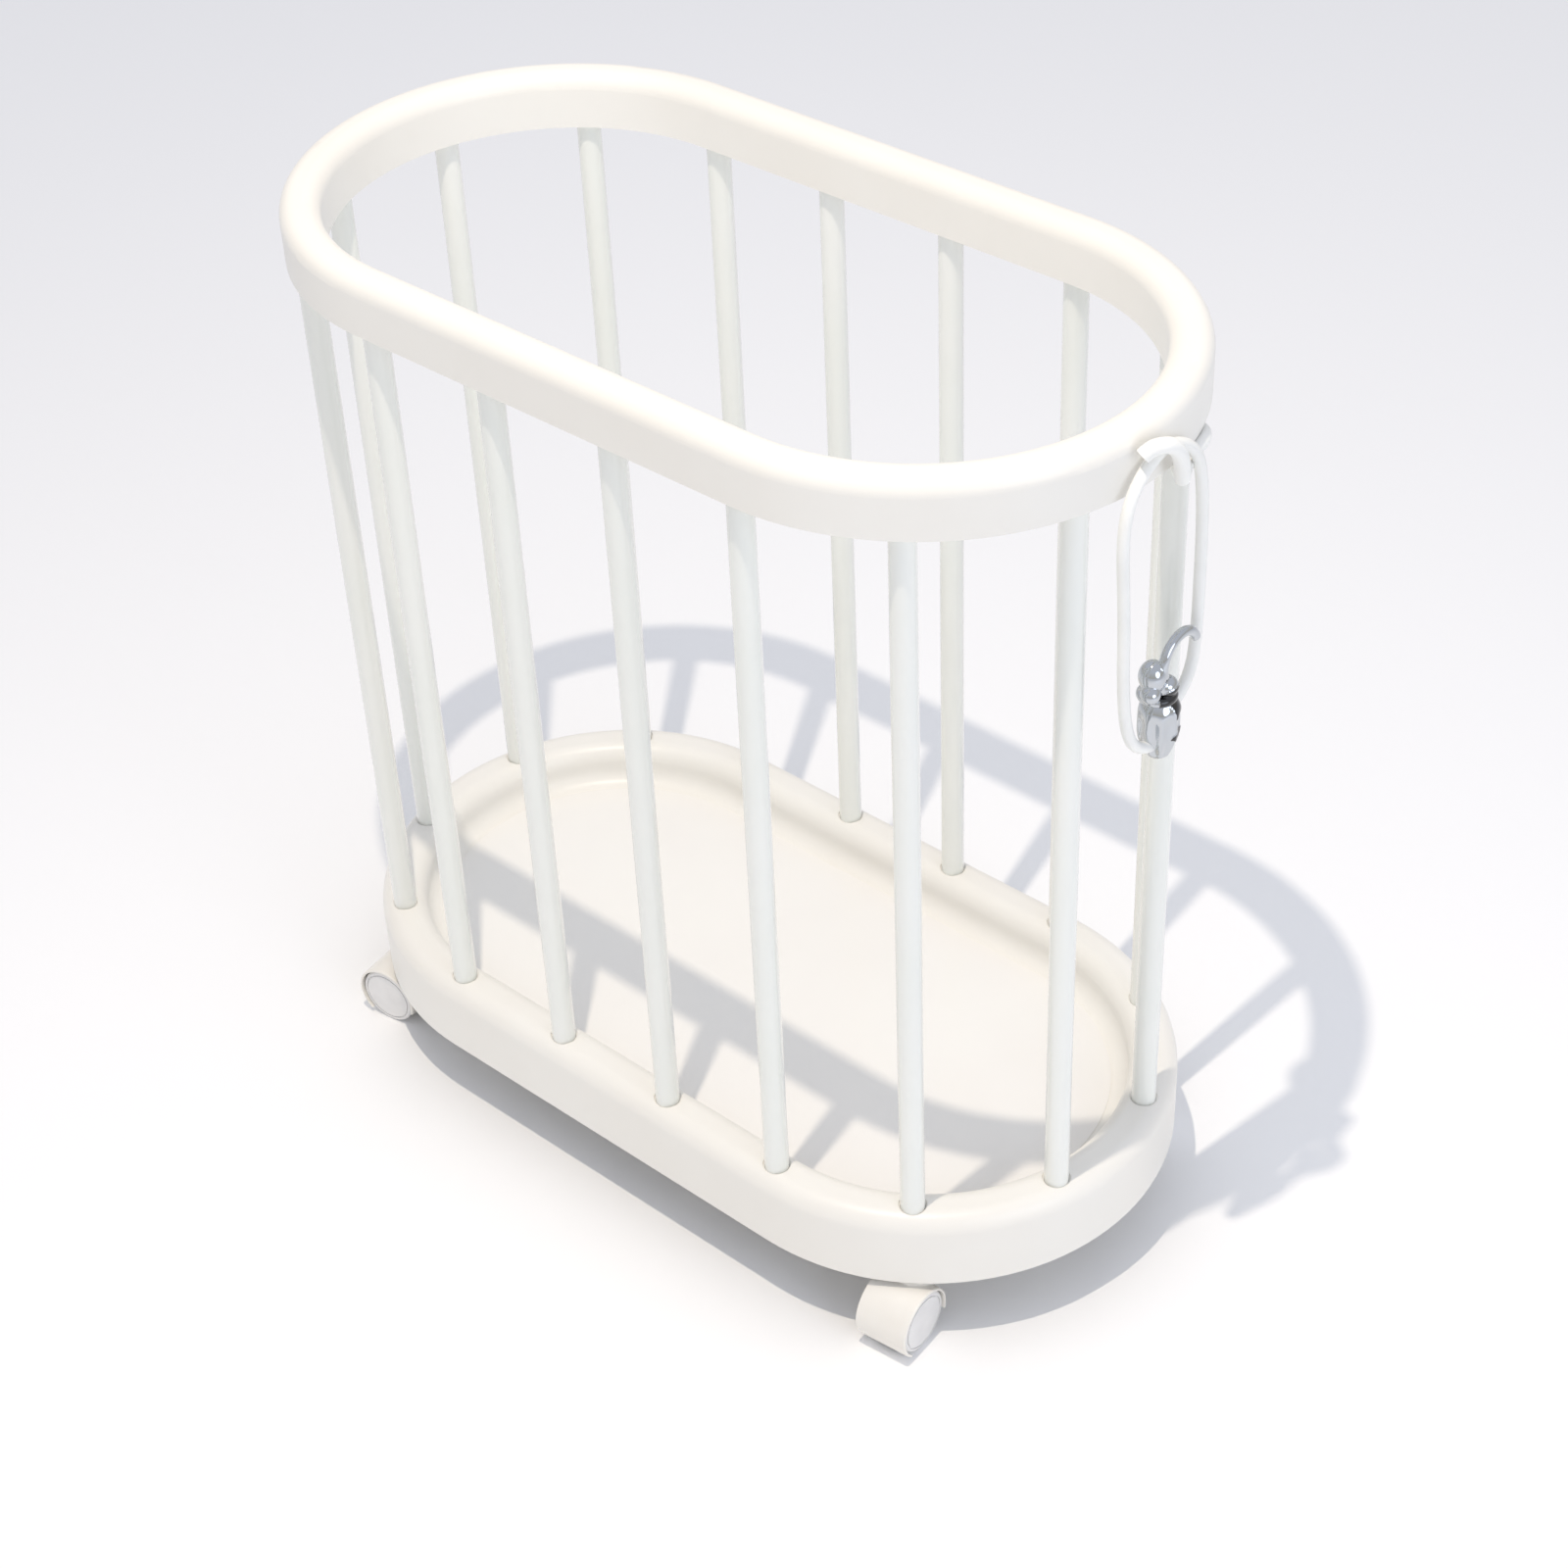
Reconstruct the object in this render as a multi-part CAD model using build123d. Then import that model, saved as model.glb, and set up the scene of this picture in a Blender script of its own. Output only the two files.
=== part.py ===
from build123d import *
import math
import os

# Oval crib on four twin-wheel casters. Millimetres, +Z up, +X along the long axis.
# The origin is on the floor, under the middle of the oval.

# The rod line: an oval of two straights and two half circles that every rod stands on
oval_straight = 368.0
oval_radius = 188.0
rod_count = 16

# Rods
rod_diameter = 20.0
rod_wall = 1.2
rod_free_height = 640.0
rod_insert = 28.0
socket_clearance = 0.2
plug_clearance = 0.05
plug_length = 22.0

# Top rim: a rounded cap over a flat ring of rod cups
rim_width = 32.0
rim_height = 46.0
rim_edge_radius = 13.0
rim_wall = 3.0
cup_plate = 4.0
cup_wall = 2.4
cup_web = 3.0
cap_clearance = 0.3
rim_screw_boss_radius = 4.5

# Base tray: a hollow rounded border round a shallow floor
base_width = 40.0
base_height = 70.0
base_edge_radius = 15.0
base_wall = 3.0
floor_height = 34.0
floor_thickness = 3.0
cove_radius = 14.0
rod_boss_radius = 13.8
boss_web = 8.0
boss_web_clearance = 0.2
seat_diameter = 23.0
seat_depth = 1.6
rib_thickness = 2.5
floor_rib_height = 14.0
floor_rib_pitch = 92.0
floor_rib_count = 5

# Screws
screw_radius = 2.5
screw_clearance = 0.1
screw_head_radius = 4.6
screw_head_height = 3.0
rod_screw_length = 24.0
head_access_radius = 6.0
small_screw_radius = 1.9
small_head_radius = 3.6
small_screw_length = 18.0
small_clearance = 0.05
small_head_height = 1.8
small_head_seat = 2.0
screw_end_gap = 2.0

# Casters
caster_height = 64.0
wheel_radius = 27.0
wheel_width = 14.0
wheel_side_gap = 0.5
wheel_edge_radius = 2.5
core_width = 16.0
hood_wall = 2.2
hood_gap = 1.2
hood_half_width = 24.0
hood_open_behind = 42.0
hood_open_ahead = 75.0
trail = 19.0
axle_radius = 3.0
axle_clearance = 0.06
axle_cap = 2.5
stem_radius = 5.5
pivot_radius = 4.0
pivot_clearance = 0.06
stem_collar_radius = 9.0
stem_collar_height = 2.0
socket_radius = 8.0
socket_flange_radius = 11.0
socket_flange = 1.5
socket_length = 26.0
neck_radius = 17.0
neck_gap = 0.8
neck_height = 6.0
stem_end_gap = 1.5
stem_over_axle = 2.0
stem_top_gap = 2.0
stem_chamfer = 1.0
axle_chamfer = 0.5
axle_end_gap = 0.4
hood_edge_radius = 1.3
neck_edge_radius = 1.5
core_under_axle = 5.0
post_floor = 2.0
# the wheel's tread ring, the groove inside it round the outer disc, and the recess in the inner face
tread_ring = 3.2
groove_width = 1.4
groove_depth = 1.2
rim_wall_of_wheel = 4.0
hub_wall = 4.0
recess_depth = 7.0
# the rod that each caster stands under, counted round the rod line from the +X tip,
# and the direction in degrees in which it trails at rest
casters = {
    "front_right": (14, -85.0),
    "front_left": (9, -172.0),
    "rear_right": (1, -62.0),
    "rear_left": (6, 158.0),
}

# Strap: a cord loop that hangs outside the end of the rim from a tab hitched round one rod,
# and its chrome ornament
strap_rod = 0
strap_gap = 6.0
cord_radius = 4.5
hitch_gap = 0.6
hitch_height = 12.0
hitch_drop = 1.5
tab_radius = 6.0
# the tab's corners beyond the rod: across from the middle of the end, and up from the rim's underside
tab_lower = (20.0, -9.0)
tab_upper = (-12.0, 37.0)
tab_out = 4.0
charm_radius = 18.0
charm_top_radius = 13.0
charm_flat_radius = 2.5
charm_half_length = 42.0
charm_place = (5.0, -204.0)
arm_radius = 4.0
arm_bend_radius = 26.0
arm_centre = (21.0, -176.0)
arm_start = 190.0
arm_turn = 165.0
arm_gap = 0.3
# the share of a bar's radius that rounds its ends, and of a run that each bend of the cord takes
end_rounding = 0.8
run_share = 0.45
# the cord's points, measured in the same way as the tab's
strap_points = [
    (0, -225),
    (-19, -219),
    (-34, -194),
    (-40, -150),
    (-41.5, -90),
    (-47, -32),
    (-43, 0),
    (-26, 25),
    (-5, 34),
    (14, 27),
    (29, 13),
    (40, -6),
    (47, -43),
    (48.5, -101),
    (48.2, -158),
    (43, -185),
    (27, -200),
    (9, -208),
]

# How far a cutter reaches past the face it opens, and how far a joined piece reaches into its wall
past = 1.0
bite = 0.5
same_height = 1e-4

base_z = caster_height
base_top = base_z + base_height
rim_z = base_top + rod_free_height
rim_top = rim_z + rim_height
rod_radius = rod_diameter / 2
rod_bottom = base_top - rod_insert - seat_depth
rod_top = rim_z + rod_insert
rod_line_length = 2 * oval_straight + 2 * math.pi * oval_radius
rod_pitch = rod_line_length / rod_count


def on_rod_line(distance):
    """Point on the rod line, counter-clockwise from the +X tip, and the outward direction there."""
    quarter = math.pi * oval_radius / 2
    distance = distance % rod_line_length
    half = oval_straight / 2
    if distance < quarter:
        turn = distance / oval_radius
        return half + oval_radius * math.cos(turn), oval_radius * math.sin(turn), math.degrees(turn)
    distance -= quarter
    if distance < oval_straight:
        return half - distance, oval_radius, 90.0
    distance -= oval_straight
    if distance < 2 * quarter:
        turn = math.pi / 2 + distance / oval_radius
        return -half + oval_radius * math.cos(turn), oval_radius * math.sin(turn), math.degrees(turn)
    distance -= 2 * quarter
    if distance < oval_straight:
        return -half + distance, -oval_radius, 270.0
    distance -= oval_straight
    turn = -math.pi / 2 + distance / oval_radius
    return half + oval_radius * math.cos(turn), oval_radius * math.sin(turn), math.degrees(turn)


rod_places = [on_rod_line((n + 0.5) * rod_pitch) for n in range(rod_count)]
between_places = [on_rod_line(n * rod_pitch) for n in range(0, rod_count, 2)]


def oval(offset, z):
    """Oval face at height z, its edge that far outside the rod line."""
    return Pos(0, 0, z) * SlotCenterToCenter(oval_straight, 2 * (oval_radius + offset))


def oval_solid(offset, bottom, top):
    return extrude(oval(offset, bottom), top - bottom)


def oval_ring(width, bottom, top):
    return oval_solid(width / 2, bottom, top) - oval_solid(-width / 2, bottom, top)


def edges_at(part, z, inside=None, outside=None):
    """Edges lying at height z, and on the named side of the rod line."""
    found = []
    for edge in part.edges():
        span = edge.bounding_box()
        if abs(span.min.Z - z) > same_height or abs(span.max.Z - z) > same_height:
            continue
        middle = edge @ 0.5
        beyond = max(0.0, abs(middle.X) - oval_straight / 2)
        away = math.hypot(beyond, middle.Y) - oval_radius
        if (inside and away < 0) or (outside and away > 0):
            found.append(edge)
    return ShapeList(found)


def rounded_ring(width, bottom, top, radius):
    """Oval ring whose two top edges are rounded."""
    ring = oval_ring(width, bottom, top)
    both = edges_at(ring, top, inside=True) + edges_at(ring, top, outside=True)
    return fillet(both, radius)


def upright(radius, x, y, bottom, top):
    return Pos(x, y, (bottom + top) / 2) * Cylinder(radius, top - bottom)


def tube(outer, inner, x, y, bottom, top):
    return upright(outer, x, y, bottom, top) - upright(inner, x, y, bottom, top)


def group(solids):
    return Compound(children=[s.solid() if hasattr(s, "solid") else s for s in solids])


def rim_cap():
    cap = rounded_ring(rim_width, rim_z, rim_top, rim_edge_radius)
    hollow = rounded_ring(
        rim_width - 2 * rim_wall, rim_z - past, rim_top - rim_wall, rim_edge_radius - rim_wall
    )
    cap -= hollow
    boss_bottom = rim_z + cup_plate + cap_clearance
    for x, y, _ in between_places:
        cap += upright(rim_screw_boss_radius, x, y, boss_bottom, rim_top - rim_wall + bite)
    bore = small_screw_radius + small_clearance
    for x, y, _ in between_places:
        cap -= upright(bore, x, y, rim_z, rim_z + small_screw_length + screw_end_gap)
    return cap


def rim_cup_ring():
    """Flat ring that closes the rim from below and carries a cup for each rod."""
    ring = oval_ring(rim_width - 2 * rim_wall - 2 * cap_clearance, rim_z, rim_z + cup_plate)
    cup_inner = rod_radius + socket_clearance
    cup_outer = min(cup_inner + cup_wall, rim_width / 2 - rim_wall - cap_clearance)
    seat = rod_top + boss_web_clearance
    for x, y, _ in rod_places:
        ring += upright(cup_outer, x, y, rim_z, seat + cup_web)
    for x, y, _ in rod_places:
        ring -= upright(cup_inner, x, y, rim_z - past, seat)
        ring -= upright(screw_radius + screw_clearance, x, y, seat - past, seat + cup_web + past)
    bore = small_screw_radius + small_clearance
    counterbore = small_head_radius + small_clearance
    for x, y, _ in between_places:
        ring -= upright(bore, x, y, rim_z - past, rim_z + cup_plate + past)
        ring -= upright(counterbore, x, y, rim_z - past, rim_z + cup_plate - small_head_seat)
    return ring


def rim_screws():
    """Small screws that pull the cup ring up into the cap."""
    screws = []
    for x, y, _ in between_places:
        head_top = rim_z + cup_plate - small_head_seat
        shaft = upright(small_screw_radius, x, y, head_top, rim_z + small_screw_length)
        screws.append(shaft + upright(small_head_radius, x, y, head_top - small_head_height, head_top))
    return group(screws)


def base_tray():
    outer = oval_solid(base_width / 2, base_z, base_top)
    outer = fillet(edges_at(outer, base_top, outside=True), base_edge_radius)
    floor_top = base_z + floor_height
    outer -= oval_solid(-base_width / 2, floor_top, base_top + past)
    outer = fillet(edges_at(outer, base_top, inside=True), base_edge_radius)
    outer = fillet(edges_at(outer, floor_top, inside=True), cove_radius)
    # the border's hollow, open below
    hollow = oval_solid(base_width / 2 - base_wall, base_z - past, base_top - base_wall)
    hollow -= oval_solid(-base_width / 2 + base_wall, base_z - past, base_top)
    round_top = edges_at(hollow, base_top - base_wall, inside=True)
    round_top += edges_at(hollow, base_top - base_wall, outside=True)
    hollow = fillet(round_top, base_edge_radius - base_wall)
    tray = outer - hollow
    tray -= oval_solid(-base_width / 2, base_z - past, floor_top - floor_thickness)
    tray += floor_ribs()
    tray += boss_webs() & hollow
    web_top = rod_bottom - boss_web_clearance
    web_bottom = web_top - boss_web
    for x, y, _ in rod_places:
        tray -= upright(seat_diameter / 2, x, y, base_top - seat_depth, base_top + past)
        tray -= upright(rod_radius + socket_clearance, x, y, web_top, base_top + past)
        tray -= upright(head_access_radius, x, y, base_z - past, web_bottom)
        tray -= upright(screw_radius + screw_clearance, x, y, web_bottom - past, rod_bottom)
    for number, _ in casters.values():
        x, y, _ = rod_places[number]
        tray -= upright(socket_radius, x, y, base_z - past, base_z + socket_length)
    return tray


def boss_webs():
    """Rod bosses inside the hollow border, each tied to both walls by a cross web."""
    made = None
    for x, y, turn in rod_places:
        web = Rot(0, 0, turn) * Box(base_width, rib_thickness, base_height)
        piece = upright(rod_boss_radius, x, y, base_z, base_top)
        piece += Pos(x, y, (base_z + base_top) / 2) * web
        made = piece if made is None else made + piece
    return made


def floor_ribs():
    """Cross ribs under the floor, and one along it."""
    inner = oval_solid(-base_width / 2 + base_wall / 2, base_z, base_top)
    under = base_z + floor_height - floor_thickness
    middle = under - floor_rib_height / 2
    ribs = Pos(0, 0, middle) * Box(rod_line_length, rib_thickness, floor_rib_height)
    for n in range(floor_rib_count):
        x = (n - (floor_rib_count - 1) / 2) * floor_rib_pitch
        ribs += Pos(x, 0, middle) * Box(rib_thickness, rod_line_length, floor_rib_height)
    return ribs & inner


def rod(number):
    x, y, _ = rod_places[number]
    return tube(rod_radius, rod_radius - rod_wall, x, y, rod_bottom, rod_top)


def rod_plugs(top):
    """Nylon plugs flush with one end of every rod, bored for its screw."""
    outer = rod_radius - rod_wall - plug_clearance
    bore = screw_radius + screw_clearance
    low = rod_top - plug_length if top else rod_bottom
    return group([tube(outer, bore, x, y, low, low + plug_length) for x, y, _ in rod_places])


def rod_screws(top):
    """Pan-head screws through the cup webs above, or the boss webs below, into the plugs."""
    screws = []
    for x, y, _ in rod_places:
        if top:
            face = rod_top + boss_web_clearance + cup_web
            shaft = upright(screw_radius, x, y, face - rod_screw_length, face)
            head = upright(screw_head_radius, x, y, face, face + screw_head_height)
        else:
            face = rod_bottom - boss_web_clearance - boss_web
            shaft = upright(screw_radius, x, y, face, face + rod_screw_length)
            head = upright(screw_head_radius, x, y, face - screw_head_height, face)
        screws.append(shaft + head)
    return group(screws)


def caster_place(name):
    """Location of a caster's stem axis, turned so that local +X is the way it trails."""
    number, heading = casters[name]
    x, y, _ = rod_places[number]
    return Pos(x, y, 0) * Rot(0, 0, heading)


def caster_socket():
    """Sleeve pressed up into the boss under a rod, with a flange against the tray."""
    bore = stem_radius + pivot_clearance
    sleeve = tube(socket_radius, bore, 0, 0, base_z, base_z + socket_length)
    return sleeve + tube(socket_flange_radius, bore, 0, 0, base_z - socket_flange, base_z)


collar_top = base_z - socket_flange
neck_top = collar_top - stem_collar_height - neck_gap
axle_z = wheel_radius
stem_end = axle_z + axle_radius + stem_over_axle


def caster_stem():
    pin = upright(stem_radius, 0, 0, collar_top, base_z + socket_length - stem_top_gap)
    pin += upright(stem_collar_radius, 0, 0, collar_top - stem_collar_height, collar_top)
    pin += upright(pivot_radius, 0, 0, stem_end, collar_top - stem_collar_height)
    return chamfer(pin.edges().sort_by(Axis.Z)[-1], stem_chamfer)


def across(radius, width):
    """Cylinder along the axle, through the wheel centre."""
    return Pos(trail, 0, axle_z) * Rot(90, 0, 0) * Cylinder(radius, width)


def caster_hood():
    """Hood over both wheels, with the core that holds the stem and the axle."""
    inner = wheel_radius + hood_gap
    outer = inner + hood_wall
    shell = across(outer, 2 * hood_half_width)
    shell = fillet(shell.edges().filter_by(GeomType.CIRCLE), hood_edge_radius)
    wheel_space = across(inner, 2 * (hood_half_width + past))
    shell -= wheel_space
    # open below, between the lower lip ahead of the wheels and the one behind them
    behind = math.radians(hood_open_behind)
    ahead = math.radians(hood_open_ahead)
    reach = outer / math.cos(ahead) + outer
    wedge = Polygon(
        (0, 0),
        (-reach * math.sin(ahead), -reach * math.cos(ahead)),
        (reach * math.sin(behind), -reach * math.cos(behind)),
        align=None,
    )
    shell -= Pos(trail, 0, axle_z) * Rot(90, 0, 0) * extrude(wedge, 2 * hood_half_width, both=True)
    core = across(inner + hood_wall / 2, core_width)
    core_bottom = axle_z - axle_radius - core_under_axle
    core -= Pos(trail, 0, 0) * Box(4 * outer, core_width + 2 * past, 2 * core_bottom)
    neck = upright(neck_radius, 0, 0, axle_z, neck_top)
    neck = fillet(neck.edges().sort_by(Axis.Z)[-1], neck_edge_radius)
    neck -= wheel_space
    pivot_bottom = stem_end - stem_end_gap
    post = upright(core_width / 2, 0, 0, pivot_bottom - post_floor, neck_top - neck_edge_radius - bite)
    hood = shell + core + neck + post
    hood -= upright(pivot_radius + pivot_clearance, 0, 0, pivot_bottom, neck_top + past)
    hood -= across(axle_radius + axle_clearance, core_width + 2 * past)
    return hood


def caster_axle():
    reach = core_width / 2 + wheel_side_gap + wheel_width - axle_cap
    pin = across(axle_radius, 2 * reach)
    return chamfer(pin.edges().filter_by(GeomType.CIRCLE), axle_chamfer)


def ring(outer, inner, depth, z):
    """Ring that cuts that deep to either side of height z."""
    return Pos(0, 0, z) * (Cylinder(outer, 2 * depth) - Cylinder(inner, 2 * depth))


def caster_wheel(side):
    """Moulded wheel: rounded tread, a groove round the outer disc, blind bore on the inside."""
    face = wheel_width / 2
    wheel = Cylinder(wheel_radius, wheel_width)
    wheel = fillet(wheel.edges().filter_by(GeomType.CIRCLE), wheel_edge_radius)
    disc_radius = wheel_radius - tread_ring - groove_width
    wheel -= ring(wheel_radius - tread_ring, disc_radius, groove_depth, face)
    wheel -= ring(wheel_radius - rim_wall_of_wheel, axle_radius + hub_wall, recess_depth, -face)
    bore_end = face - axle_cap + axle_end_gap
    wheel -= upright(axle_radius + axle_clearance, 0, 0, -face - past, bore_end)
    middle = core_width / 2 + wheel_side_gap + face
    return Pos(trail, side * middle, axle_z) * Rot(-90 * side, 0, 0) * wheel


strap_line = oval_straight / 2 + oval_radius + rim_width / 2 + strap_gap


def strap_place(across_it, up, out=0.0):
    """Point in the upright plane that the strap hangs in, or further out."""
    return Vector(strap_line + out, across_it, rim_z + up)


def bar_between(start, end, radius):
    """Round bar with rounded ends."""
    along = end - start
    bar = extrude(Plane(start, z_dir=along) * Circle(radius), along.length)
    return fillet(bar.edges().filter_by(GeomType.CIRCLE), end_rounding * radius)


def strap_hitch():
    """Tab: a collar round the rod, a neck out under the rim, and the fold that the loop hangs in."""
    x, y, _ = rod_places[strap_rod]
    inner = rod_radius + hitch_gap
    collar_top = rim_z - hitch_drop
    collar = tube(inner + 2 * cord_radius, inner, x, y, collar_top - hitch_height, collar_top)
    collar = fillet(collar.edges().filter_by(GeomType.CIRCLE), end_rounding * cord_radius)
    elbow = strap_place(*tab_lower, tab_out)
    level = Vector(x, y, elbow.Z)
    towards = (elbow - level).normalized()
    neck = bar_between(level + towards * (inner + cord_radius), elbow, tab_radius)
    fold = bar_between(elbow, strap_place(*tab_upper, tab_out), tab_radius)
    return collar + neck + fold


def strap_loop():
    """Straight runs joined by arcs as large as the runs allow."""
    route = [strap_place(*point) for point in strap_points]
    radii = []
    for before, corner, after in zip(route, route[1:], route[2:]):
        turn = math.radians((corner - before).get_angle(after - corner))
        shorter = min((corner - before).length, (after - corner).length)
        radii.append(run_share * shorter / math.tan(turn / 2))
    print("strap radii, mm:", [round(r) for r in radii])
    path = FilletPolyline(*route, radius=radii)
    loop = sweep(Plane(path @ 0, z_dir=path % 0) * Circle(cord_radius), path)
    section = math.pi * cord_radius**2
    print("strap length, mm:", round(path.length), "from volume:", round(loop.volume / section))
    return loop


def charm():
    """Plain chrome ornament: an egg-shaped body with a bent arm over the cord."""
    egg = Cone(charm_radius, charm_top_radius, 2 * charm_half_length)
    egg = fillet(egg.edges().sort_by(Axis.Z)[0], charm_radius - charm_flat_radius)
    egg = fillet(egg.edges().sort_by(Axis.Z)[-1], charm_top_radius - charm_flat_radius)
    egg = Pos(*tuple(strap_place(*charm_place))) * egg
    bend = Plane.XZ * CenterArc((0, 0), arm_bend_radius, arm_start, -arm_turn)
    arm = sweep(Plane(bend @ 0, z_dir=bend % 0) * Circle(arm_radius), bend)
    tip = arm.faces().sort_by_distance(bend @ 1)[0]
    arm = fillet(tip.edges(), end_rounding * arm_radius)
    in_front = cord_radius + arm_radius + arm_gap
    arm = Pos(*tuple(strap_place(*arm_centre, in_front))) * Rot(0, 0, 90) * arm
    return egg + arm


def save(name, part):
    export_step(part, os.path.join("parts", name + ".step"))


def main():
    os.makedirs("parts", exist_ok=True)
    save("rim_cap", rim_cap())
    save("rim_cup_ring", rim_cup_ring())
    save("rim_screws", rim_screws())
    save("base_tray", base_tray())
    for number in range(rod_count):
        save(f"rod_{number + 1:02d}", rod(number))
    for end, top in (("top", True), ("bottom", False)):
        save(f"rod_plugs_{end}", rod_plugs(top))
        save(f"rod_screws_{end}", rod_screws(top))
    save("strap_hitch", strap_hitch())
    save("strap_loop", strap_loop())
    save("strap_charm", charm())
    for name in casters:
        place = caster_place(name)
        save(f"caster_{name}_socket", place * caster_socket())
        save(f"caster_{name}_stem", place * caster_stem())
        save(f"caster_{name}_hood", place * caster_hood())
        save(f"caster_{name}_axle", place * caster_axle())
        save(f"caster_{name}_wheel_a", place * caster_wheel(1))
        save(f"caster_{name}_wheel_b", place * caster_wheel(-1))


main()
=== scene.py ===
import math

import bpy
from mathutils import Matrix, Vector


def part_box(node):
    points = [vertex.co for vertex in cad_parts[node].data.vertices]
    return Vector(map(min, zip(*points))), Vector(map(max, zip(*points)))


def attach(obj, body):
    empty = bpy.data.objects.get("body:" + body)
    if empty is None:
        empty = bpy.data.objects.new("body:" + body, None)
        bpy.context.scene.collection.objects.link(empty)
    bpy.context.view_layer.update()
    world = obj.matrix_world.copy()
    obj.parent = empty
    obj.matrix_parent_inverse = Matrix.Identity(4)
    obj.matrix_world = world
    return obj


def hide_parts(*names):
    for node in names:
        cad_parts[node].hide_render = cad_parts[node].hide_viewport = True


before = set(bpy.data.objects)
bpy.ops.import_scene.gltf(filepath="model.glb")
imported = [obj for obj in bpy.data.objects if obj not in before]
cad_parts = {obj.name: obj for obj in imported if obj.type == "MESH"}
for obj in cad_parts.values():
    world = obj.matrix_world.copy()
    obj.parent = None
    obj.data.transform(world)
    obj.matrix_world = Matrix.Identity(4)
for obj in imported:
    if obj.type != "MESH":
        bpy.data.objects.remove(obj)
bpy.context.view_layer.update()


def deselectAll():
    for item in bpy.context.selected_objects:
        item.select_set(False)
    bpy.context.view_layer.objects.active = None


def takeActive(name):
    piece = bpy.context.active_object
    piece.name = name
    return piece


# camera: standing height, a little to the right of the long side, looking down
# angles in degrees, places in metres, lens and sensor in millimetres
cameraSettings = {
    "azimuth": 42.87,
    "elevation": 38.56,
    "roll": -2.75,
    "distance": 2.4425,
    "aim": (0.0469, -0.0150, 0.3502),
    "lens": 68.79,
    "sensor": 36,
}


def makeCamera(settings):
    azimuth = math.radians(settings["azimuth"])
    elevation = math.radians(settings["elevation"])
    back = Vector((
        math.sin(azimuth) * math.cos(elevation),
        -math.cos(azimuth) * math.cos(elevation),
        math.sin(elevation),
    ))
    deselectAll()
    bpy.ops.object.camera_add(location=Vector(settings["aim"]) + back * settings["distance"])
    camera = takeActive("camera")
    turn = (-back).to_track_quat("-Z", "Y").to_matrix().to_4x4()
    turn = turn @ Matrix.Rotation(math.radians(settings["roll"]), 4, "Z")
    camera.rotation_euler = turn.to_euler()
    camera.data.lens = settings["lens"]
    camera.data.sensor_width = settings["sensor"]
    bpy.context.scene.camera = camera


makeCamera(cameraSettings)
print("camera placed")


def hexColor(code):
    # sRGB hex to the linear values that Blender's sockets take
    values = []
    for start in (0, 2, 4):
        part = int(code[start:start + 2], 16) / 255
        values.append(part / 12.92 if part <= 0.04045 else ((part + 0.055) / 1.055) ** 2.4)
    return (*values, 1.0)


def addNode(tree, kind, links, **settings):
    # links say which output feeds each socket; a setting is a socket's value, a ramp's stops or the
    # node's own, with an underscore for each space in its name
    node = tree.nodes.new(kind)
    for name, value in settings.items():
        socket = node.inputs.get(name.replace("_", " "))
        if name == "stops":
            for element, (position, code) in zip(node.color_ramp.elements, value):
                element.position = position
                element.color = hexColor(code)
        elif socket is None:
            setattr(node, name, value)
        else:
            socket.default_value = value
    for name, source in links.items():
        tree.links.new(source, node.inputs[name])
    return node


def emptyTree(name):
    material = bpy.data.materials.new(name)
    material.use_nodes = True
    material.node_tree.nodes.clear()
    return material, material.node_tree


# two tones in sRGB hex, the middle roughness, and in millimetres the width of the slow blotches that
# both follow and the height of the skin's relief
plasticFinishes = {
    # ABS moulding with a faint sparked skin: warm white, with broad soft highlights
    "mouldedAbs": {"colors": ("F3F1EB", "F0EDE6"), "rough": 0.36, "blotch": 180, "relief": 0.02},
    # powder enamel baked on steel tube: cooler white under a clear gloss, with thin bright lines
    "bakedEnamel": {
        "colors": ("F1F2ED", "EEF0EA"), "rough": 0.13, "blotch": 120, "relief": 0.008,
        "more": {"Coat_Weight": 0.7, "Coat_Roughness": 0.06},
    },
    # ABS from a polished mould, on the caster hoods
    "polishedAbs": {"colors": ("F2EFE8", "EFEBE3"), "rough": 0.26, "blotch": 40, "relief": 0.01},
    # moulded nylon wheels: satin and a little greyer
    "mouldedNylon": {"colors": ("ECEBEA", "E6E5E4"), "rough": 0.4, "blotch": 20, "relief": 0.02},
    # natural nylon plugs: dull and ivory
    "naturalNylon": {"colors": ("E2DED2", "DCD8CB"), "rough": 0.5, "blotch": 15, "relief": 0.02},
    # cast acrylic sheet on the tray's floor: glossy, with clear soft reflections
    "castAcrylic": {"colors": ("F5F3EE", "F2EFEA"), "rough": 0.17, "blotch": 260, "relief": 0.006},
    # soft silicone cord: satin, with light passing a little way into it
    "mouldedSilicone": {
        "colors": ("F6F6F2", "F2F2EE"), "rough": 0.42, "blotch": 30, "relief": 0.01,
        "more": {"Subsurface_Weight": 0.15, "Subsurface_Radius": (0.003, 0.003, 0.003)},
    },
    # black enamel fired on the chrome: wet gloss
    "firedEnamel": {
        "colors": ("121214", "1A1A1C"), "rough": 0.12, "blotch": 8, "relief": 0.01,
        "more": {"Coat_Weight": 0.5},
    },
}
plasticShared = {
    "ior": 1.5,
    "roughSpread": 0.04,
    "toneEnds": (0.35, 0.65),
    "toneDetail": 3,
    # a real moulded skin is near 0.1 mm wide, and is drawn 1.6 mm wide so that it shows
    "skin": 1.6,
    "skinDetail": 4,
}

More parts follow.
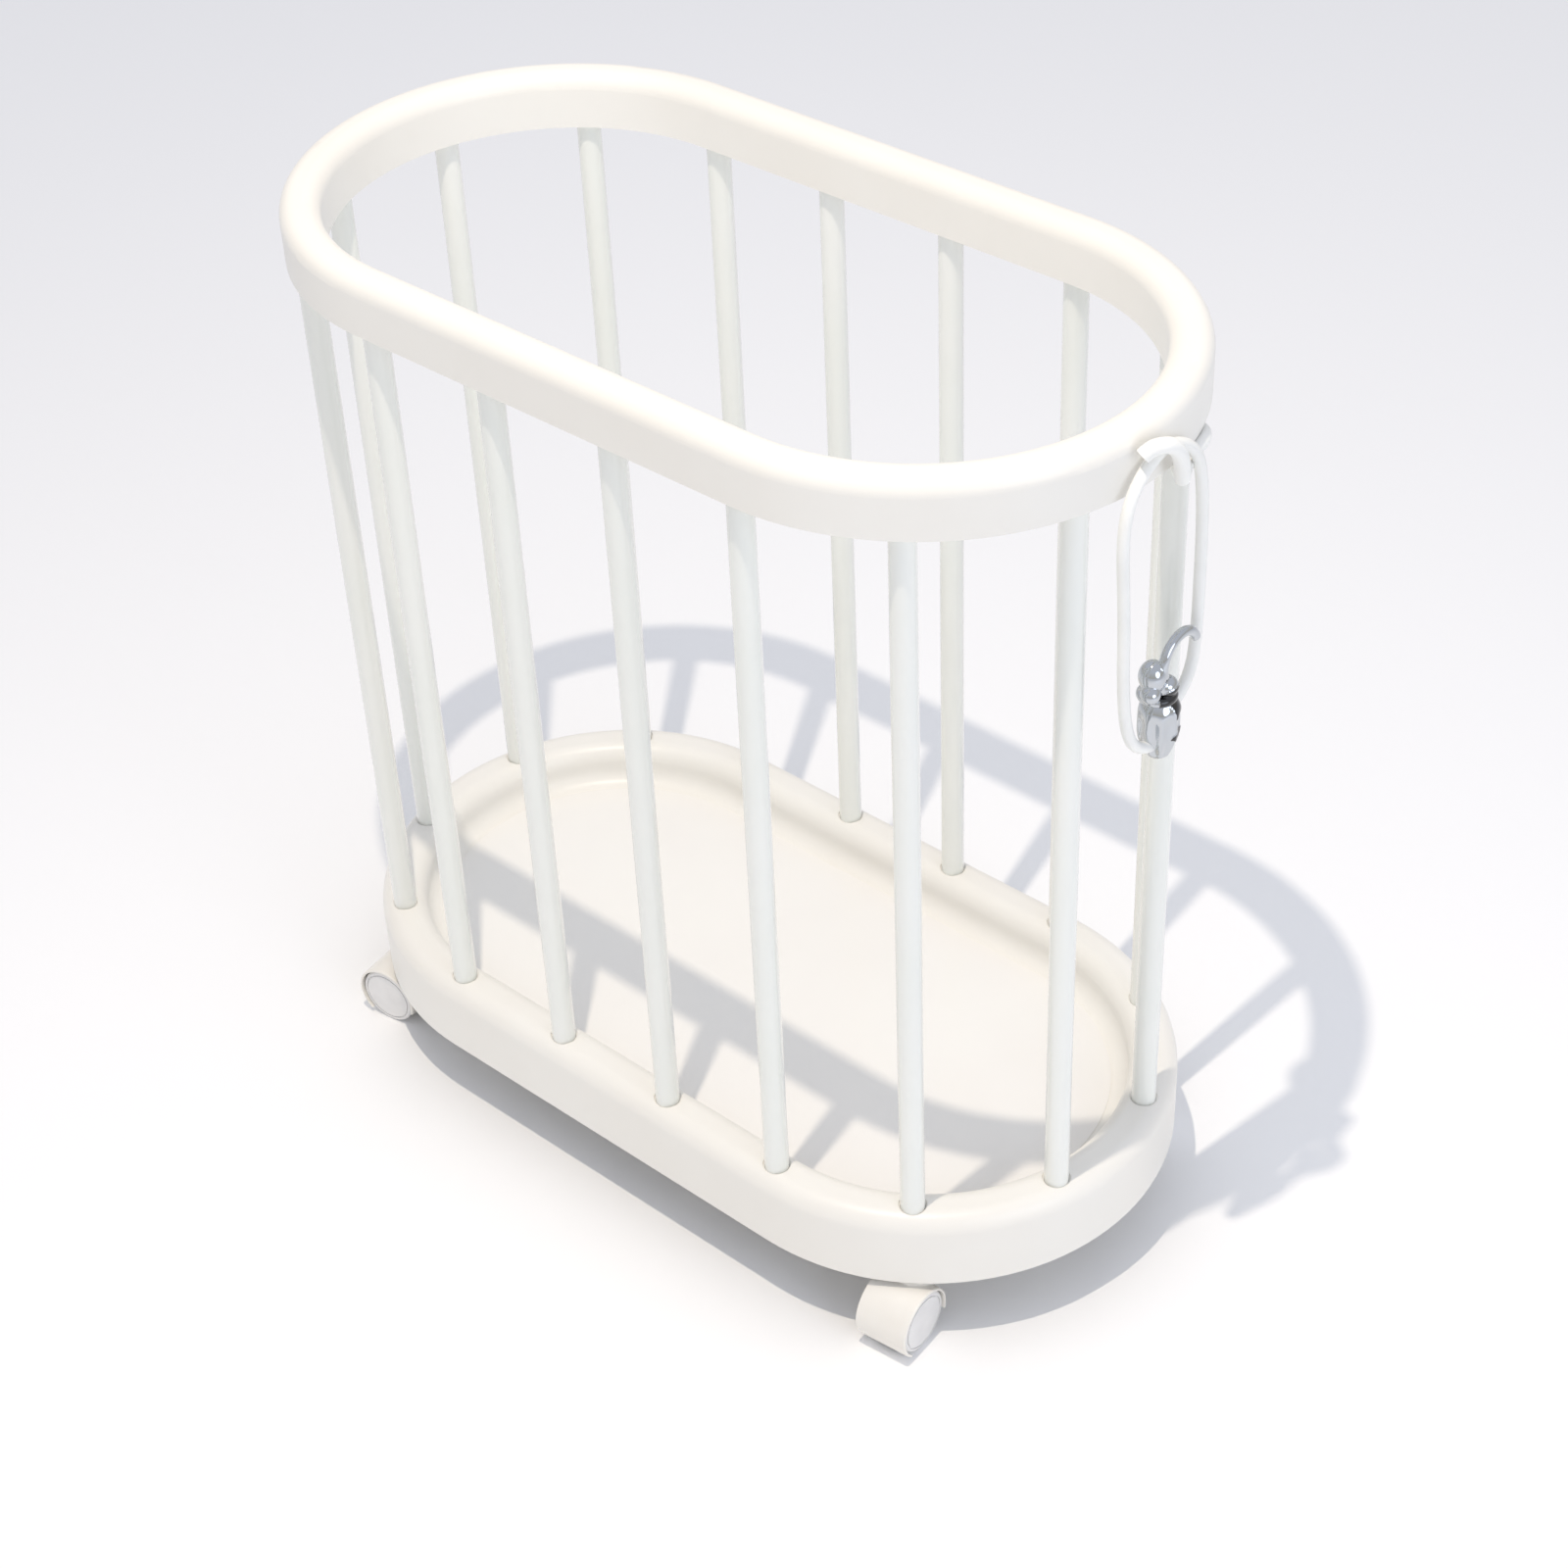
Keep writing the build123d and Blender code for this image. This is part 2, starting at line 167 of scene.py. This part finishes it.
metalFinishes = {
    # bright zinc plate on screws, axles and stems: pale, with a mild blur
    "brightZincPlate": {"color": "C4C6C8", "rough": 0.28, "blotch": 4},
    # dull zinc plate on the caster sockets
    "dullZincPlate": {"color": "A9ACAE", "rough": 0.42, "blotch": 6},
    # chrome plate on a polished casting: mirror-like, with slow ripples
    "chromePlate": {"color": "C6CACE", "rough": 0.05, "blotch": 12, "relief": 0.02},
}
metalShared = {"roughLow": 0.7, "roughHigh": 1.3, "toneDetail": 5}


def makePlastic(name, settings, shared):
    material, tree = emptyTree(name)
    place = {"Vector": addNode(tree, "ShaderNodeTexCoord", {}).outputs["Object"]}
    toneScale, skinScale = 1000 / settings["blotch"], 1000 / shared["skin"]
    tone = addNode(tree, "ShaderNodeTexNoise", place, Scale=toneScale, Detail=shared["toneDetail"])
    skin = addNode(tree, "ShaderNodeTexNoise", place, Scale=skinScale, Detail=shared["skinDetail"])
    stops = list(zip(shared["toneEnds"], settings["colors"]))
    colors = addNode(tree, "ShaderNodeValToRGB", {"Fac": tone.outputs["Fac"]}, stops=stops)
    low, high = settings["rough"] - shared["roughSpread"], settings["rough"] + shared["roughSpread"]
    amount = {"Value": tone.outputs["Fac"]}
    gloss = addNode(tree, "ShaderNodeMapRange", amount, To_Min=low, To_Max=high)
    rise, height = {"Height": skin.outputs["Fac"]}, settings["relief"] / 1000
    relief = addNode(tree, "ShaderNodeBump", rise, Strength=1, Distance=height)
    links = {
        "Base Color": colors.outputs["Color"],
        "Roughness": gloss.outputs["Result"],
        "Normal": relief.outputs["Normal"],
    }
    more = settings.get("more", {})
    shader = addNode(tree, "ShaderNodeBsdfPrincipled", links, IOR=shared["ior"], **more)
    addNode(tree, "ShaderNodeOutputMaterial", {"Surface": shader.outputs["BSDF"]})
    return material


def makeMetal(name, settings, shared):
    material, tree = emptyTree(name)
    place = {"Vector": addNode(tree, "ShaderNodeTexCoord", {}).outputs["Object"]}
    toneScale = 1000 / settings["blotch"]
    tone = addNode(tree, "ShaderNodeTexNoise", place, Scale=toneScale, Detail=shared["toneDetail"])
    low, high = settings["rough"] * shared["roughLow"], settings["rough"] * shared["roughHigh"]
    amount = {"Value": tone.outputs["Fac"]}
    gloss = addNode(tree, "ShaderNodeMapRange", amount, To_Min=low, To_Max=high)
    links = {"Roughness": gloss.outputs["Result"]}
    if "relief" in settings:
        rise, height = {"Height": tone.outputs["Fac"]}, settings["relief"] / 1000
        relief = addNode(tree, "ShaderNodeBump", rise, Strength=1, Distance=height)
        links["Normal"] = relief.outputs["Normal"]
    color = hexColor(settings["color"])
    shader = addNode(tree, "ShaderNodeBsdfPrincipled", links, Base_Color=color, Metallic=1)
    addNode(tree, "ShaderNodeOutputMaterial", {"Surface": shader.outputs["BSDF"]})
    return material


finishes = {}
for finishName, finishSettings in plasticFinishes.items():
    finishes[finishName] = makePlastic(finishName, finishSettings, plasticShared)
for finishName, finishSettings in metalFinishes.items():
    finishes[finishName] = makeMetal(finishName, finishSettings, metalShared)

# the first word found in a node's name gives its finish
nodeFinishes = [
    ("screws", "brightZincPlate"),
    ("plugs", "naturalNylon"),
    ("socket", "dullZincPlate"),
    ("stem", "brightZincPlate"),
    ("axle", "brightZincPlate"),
    ("hood", "polishedAbs"),
    ("wheel", "mouldedNylon"),
    ("charm", "chromePlate"),
    ("strap", "mouldedSilicone"),
    ("rod", "bakedEnamel"),
    ("", "mouldedAbs"),
]
for nodeName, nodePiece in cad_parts.items():
    finishName = next(finish for word, finish in nodeFinishes if word in nodeName)
    nodePiece.data.materials.clear()
    nodePiece.data.materials.append(finishes[finishName])
print("materials on", len(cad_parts), "nodes")


# strap: a cord loop that hangs outside the end of the rim, from a tab round one rod
rimLow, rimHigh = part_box("rim_cap")
strapSettings = {
    "radius": 0.0045,
    "gap": 0.006,  # from the rim's end out to the loop's plane
    "order": 3,
    "steps": 10,
    "roundSteps": 6,
    # millimetres across from the middle of the end, and up from the rim's underside
    "loopPoints": [
        (0, -225),
        (-19, -219),
        (-34, -194),
        (-40, -150),
        (-41.5, -90),
        (-47, -32),
        (-44, -4),
        (-31, 16),
        (-9, 27),
        (11, 24),
        (29, 12),
        (41, -6),
        (47, -43),
        (48.5, -101),
        (48.2, -158),
        (43, -185),
        (27, -200),
        (9, -208),
    ],
    "tabRadius": 0.0058,
    # round the rod, out under the rim and over the loop: out from the loop's plane, across, and up
    "tabPoints": [
        (-4, 27, -8),
        (-13, 46, -8),
        (-14.5, 62, -7.5),
        (-20, 75, -7.5),
        (-33, 77.5, -7.5),
        (-46, 72, -7.5),
        (-49.5, 58, -7.5),
        (-44, 46, -7.5),
        (-22, 36, -7.5),
        (-4, 26, -8.5),
        (4, 14, -6),
        (8, 7, 8),
        (10.9, 1, 22),
        (10.9, -8, 35),
        (9, -17, 39),
        (3.5, -24, 38),
        (0.5, -29, 33),
    ],
}


def strapPlace(out, across, up):
    # millimetres out from the loop's plane, across and up, to a place in metres
    line = rimHigh[0] + strapSettings["gap"]
    return Vector((line + out / 1000, across / 1000, rimLow[2] + up / 1000))


def cordCurve(name, points, radius, settings):
    shape = bpy.data.curves.new(name, "CURVE")
    shape.dimensions = "3D"
    spline = shape.splines.new("NURBS")
    spline.points.add(len(points) - 1)
    for point, place in zip(spline.points, points):
        point.co = (*place, 1.0)
    spline.order_u = settings["order"]
    spline.use_endpoint_u = True
    spline.resolution_u = settings["steps"]
    shape.bevel_depth = radius
    shape.bevel_resolution = settings["roundSteps"]
    shape.use_fill_caps = True
    piece = bpy.data.objects.new(name, shape)
    bpy.context.collection.objects.link(piece)
    shape.materials.append(finishes["mouldedSilicone"])
    return piece


def cordLength(piece):
    # measured on the bare spline
    bare = piece.copy()
    bare.data = piece.data.copy()
    bare.data.bevel_depth = 0
    line = bpy.data.meshes.new_from_object(bare)
    total = 0.0
    for edge in line.edges:
        start, end = (line.vertices[index].co for index in edge.vertices)
        total += (end - start).length
    bpy.data.meshes.remove(line)
    bpy.data.curves.remove(bare.data)
    return total


def declareCord(piece, path, radius, node, **others):
    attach(piece, "frame")
    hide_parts(node)
    cordLength(piece)


def makeStrap(settings):
    loopPath = [strapPlace(0, across, up) for across, up in settings["loopPoints"]]
    loop = cordCurve("strapLoop", loopPath, settings["radius"], settings)
    tabPath = [strapPlace(*point) for point in settings["tabPoints"]]
    tab = cordCurve("strapTab", tabPath, settings["tabRadius"], settings)
    declareCord(tab, tabPath, settings["tabRadius"], "strap_hitch")
    charm = makeCharm(charmSettings)
    declareCord(loop, loopPath, settings["radius"], "strap_loop", with_pieces=[charm])


# ornament on the strap: a cast and chromed pendant with a bent arm over the cord
# places are millimetres out from the loop's plane, across and up; sizes are metres, angles degrees
charmSettings = {
    "bodyPlace": (0, 6, -209),
    "bodySize": (0.0187, 0.0187, 0.0295),
    "bodyRings": 12,
    "bodyRounding": 3,
    "flutes": 8,
    "fluteSqueeze": 0.62,
    "fluteFoot": -0.024,
    "fluteTop": 0.008,
    "knobs": [
        ((1, -5.5, -160), (0.0105, 0.0105, 0.013)),
        ((6, 4, -171), (0.009, 0.009, 0.008)),
        ((5, -13, -170), (0.0075, 0.0075, 0.007)),
    ],
    "collarPlace": (0, 2, -180),
    "collarRadius": 0.0115,
    "collarThick": 0.0034,
    "collarSteps": (64, 20),
    "armCentre": (7, 18, -154),
    "armBend": 0.02,
    "armRadius": 0.004,
    "armStart": 200,
    "armTurn": 175,
    "armSteps": 28,
    "armSides": 24,
    # width of the grid that the joined parts are cast on, and how far it is polished
    "grain": 0.0007,
    "polishStrength": 0.6,
    "polishPasses": 8,
    # crescents of enamel: within a reach of one place, and not within a reach of the other
    "inlays": [
        ((13, 5, -184), 0.0145, (9, -8, -196), 0.0145),
        ((14, 11, -218), 0.0085, (12, 2, -224), 0.008),
    ],
    "inlayRise": 0.0006,
}


def addBall(place, size, segments=48, rings=24):
    deselectAll()
    bpy.ops.mesh.primitive_uv_sphere_add(
        segments=segments, ring_count=rings, radius=1, location=place, scale=size
    )
    return bpy.context.active_object


def clearPicks(piece):
    for group in (piece.data.vertices, piece.data.edges, piece.data.polygons):
        for item in group:
            item.select = False


def applyModifier(piece, kind, **settings):
    modifier = piece.modifiers.new(kind, kind)
    for name, value in settings.items():
        setattr(modifier, name, value)
    bpy.ops.object.modifier_apply(modifier=modifier.name)


def makeFlutedBody(settings):
    middle = strapPlace(*settings["bodyPlace"])
    body = addBall(middle, settings["bodySize"], 2 * settings["flutes"], settings["bodyRings"])
    bpy.ops.object.transform_apply(location=True, scale=True)
    # every second column of points below the shoulder is drawn in, and then rounded
    clearPicks(body)
    step = math.pi / settings["flutes"]
    for vertex in body.data.vertices:
        out = vertex.co - middle
        column = round(math.atan2(out.y, out.x) / step)
        vertex.select = column % 2 == 1 and settings["fluteFoot"] < out.z < settings["fluteTop"]
    squeeze = settings["fluteSqueeze"]
    bpy.ops.object.mode_set(mode="EDIT")
    bpy.ops.mesh.select_mode(type="VERT")
    bpy.ops.transform.resize(value=(squeeze, squeeze, 1), center_override=middle)
    bpy.ops.object.mode_set(mode="OBJECT")
    rounding = settings["bodyRounding"]
    applyModifier(body, "SUBSURF", levels=rounding, render_levels=rounding)
    return body


def makeBentArm(settings):
    centre = strapPlace(*settings["armCentre"])
    radius = settings["armRadius"]
    start, turn = math.radians(settings["armStart"]), math.radians(settings["armTurn"])
    ends = []
    for angle in (start, start - turn):
        ends.append(centre + settings["armBend"] * Vector((0, math.cos(angle), math.sin(angle))))
    deselectAll()
    bpy.ops.mesh.primitive_circle_add(
        vertices=settings["armSides"], radius=radius, fill_type="NGON",
        location=ends[0], rotation=(start, 0, 0),
    )
    arm = bpy.context.active_object
    bpy.ops.object.transform_apply(location=True, rotation=True)
    bpy.ops.object.mode_set(mode="EDIT")
    bpy.ops.mesh.select_all(action="SELECT")
    bpy.ops.mesh.spin(steps=settings["armSteps"], angle=turn, center=centre, axis=(1, 0, 0))
    bpy.ops.mesh.select_all(action="SELECT")
    bpy.ops.mesh.normals_make_consistent(inside=False)
    bpy.ops.object.mode_set(mode="OBJECT")
    return [arm] + [addBall(place, (radius, radius, radius)) for place in ends]


def layEnamel(piece, settings):
    for near, reach, away, keepOut in settings["inlays"]:
        nearPlace, awayPlace = strapPlace(*near), strapPlace(*away)
        clearPicks(piece)
        for face in piece.data.polygons:
            inside = (face.center - nearPlace).length < reach
            face.select = inside and (face.center - awayPlace).length > keepOut
            if face.select:
                face.material_index = 1
        bpy.ops.object.mode_set(mode="EDIT")
        bpy.ops.transform.shrink_fatten(value=settings["inlayRise"])
        bpy.ops.object.mode_set(mode="OBJECT")


def makeCharm(settings):
    body = makeFlutedBody(settings)
    parts = [body] + [addBall(strapPlace(*place), size) for place, size in settings["knobs"]]
    around, across = settings["collarSteps"]
    deselectAll()
    bpy.ops.mesh.primitive_torus_add(
        location=strapPlace(*settings["collarPlace"]), major_segments=around, minor_segments=across,
        major_radius=settings["collarRadius"], minor_radius=settings["collarThick"],
    )
    parts.append(bpy.context.active_object)
    parts += makeBentArm(settings)
    deselectAll()
    for part in parts:
        part.select_set(True)
    bpy.context.view_layer.objects.active = body
    bpy.ops.object.join()
    bpy.ops.object.transform_apply(location=True, rotation=True, scale=True)
    piece = takeActive("strapCharm")
    applyModifier(piece, "REMESH", mode="VOXEL", voxel_size=settings["grain"])
    strength, passes = settings["polishStrength"], settings["polishPasses"]
    applyModifier(piece, "SMOOTH", factor=strength, iterations=passes)
    piece.data.materials.clear()
    piece.data.materials.append(finishes["chromePlate"])
    piece.data.materials.append(finishes["firedEnamel"])
    layEnamel(piece, settings)
    bpy.ops.object.shade_smooth()
    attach(piece, "frame")
    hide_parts("strap_charm")
    print("ornament of", len(piece.data.polygons), "faces")
    return piece


makeStrap(strapSettings)
print("strap hung")

# tray floor: a thin glossy oval sheet laid inside the tray's rounded foot, in metres
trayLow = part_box("base_tray")[0]
linerSettings = {
    "thick": 0.0006,
    "floorUp": 0.034,  # from the tray's lowest edge
    "radius": 0.1535,
    "straight": 0.368,
    "points": 128,
    "middleBand": 1e-6,  # points nearer the middle line than this stay on it
}


def makeLiner(settings):
    deselectAll()
    middle = trayLow[2] + settings["floorUp"] + settings["thick"] / 2
    bpy.ops.mesh.primitive_cylinder_add(
        vertices=settings["points"], radius=settings["radius"], depth=settings["thick"],
        location=(0, 0, middle),
    )
    piece = takeActive("trayLiner")
    bpy.ops.object.transform_apply(location=True)
    # a disc drawn out to an oval, one half at a time
    for side in (-1, 1):
        clearPicks(piece)
        for vertex in piece.data.vertices:
            vertex.select = vertex.co.x * side > settings["middleBand"]
        bpy.ops.object.mode_set(mode="EDIT")
        bpy.ops.mesh.select_mode(type="VERT")
        bpy.ops.transform.translate(value=(side * settings["straight"] / 2, 0, 0))
        bpy.ops.object.mode_set(mode="OBJECT")
    piece.data.materials.append(finishes["castAcrylic"])
    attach(piece, "frame")


makeLiner(linerSettings)
print("tray floor laid")

# stage: a pale paper floor, a small lamp above, a large cool window at the right and a soft sky
stageSettings = {
    "floorColor": "FDFDFD",
    "floorRough": 0.9,
    "floorSize": 60,
    "skyColor": "F0F3FD",
    "horizonColor": "E0DCD4",
    "horizonEnds": (0.05, 0.6),
    "skyPower": 0.77,
    "lamp": {
        "place": (0.26, -0.605, 3.0), "aim": (0.05, 0, 0.1), "power": 34, "size": 0.045,
        "color": "FFF3E2",
    },
    "window": {
        "place": (2.6, -0.5, 1.3), "aim": (0.1, 0, 0.4), "power": 13, "size": 1.6,
        "color": "E2ECFF",
    },
}


def addLight(name, settings):
    place = Vector(settings["place"])
    aim = Vector(settings["aim"])
    deselectAll()
    bpy.ops.object.light_add(type="AREA", location=place)
    light = takeActive(name)
    light.rotation_euler = (aim - place).to_track_quat("-Z", "Y").to_euler()
    light.data.shape = "DISK"
    light.data.size = settings["size"]
    light.data.energy = settings["power"]
    light.data.color = hexColor(settings["color"])[:3]


def makeSky(settings):
    # dimmer and warmer towards the horizon, as a lit ceiling over pale walls
    world = bpy.data.worlds.new("studio")
    world.use_nodes = True
    tree = world.node_tree
    sky = tree.nodes["Background"]
    sky.inputs["Strength"].default_value = settings["skyPower"]
    place = addNode(tree, "ShaderNodeTexCoord", {}).outputs["Generated"]
    height = addNode(tree, "ShaderNodeSeparateXYZ", {"Vector": place}).outputs["Z"]
    stops = list(zip(settings["horizonEnds"], (settings["horizonColor"], settings["skyColor"])))
    ramp = addNode(tree, "ShaderNodeValToRGB", {"Fac": height}, stops=stops)
    tree.links.new(ramp.outputs["Color"], sky.inputs["Color"])
    bpy.context.scene.world = world


def makeStage(settings):
    deselectAll()
    bpy.ops.mesh.primitive_plane_add(size=settings["floorSize"], location=(0, 0, 0))
    floor = takeActive("stageFloor")
    paper, tree = emptyTree("stagePaper")
    color = hexColor(settings["floorColor"])
    shader = addNode(
        tree, "ShaderNodeBsdfPrincipled", {}, Base_Color=color, Roughness=settings["floorRough"]
    )
    addNode(tree, "ShaderNodeOutputMaterial", {"Surface": shader.outputs["BSDF"]})
    floor.data.materials.append(paper)
    makeSky(settings)
    addLight("ceilingLamp", settings["lamp"])
    addLight("windowLight", settings["window"])
    # near-white tones stay apart in the plain view transform
    bpy.context.scene.view_settings.view_transform = "Standard"


makeStage(stageSettings)
print("stage lit")
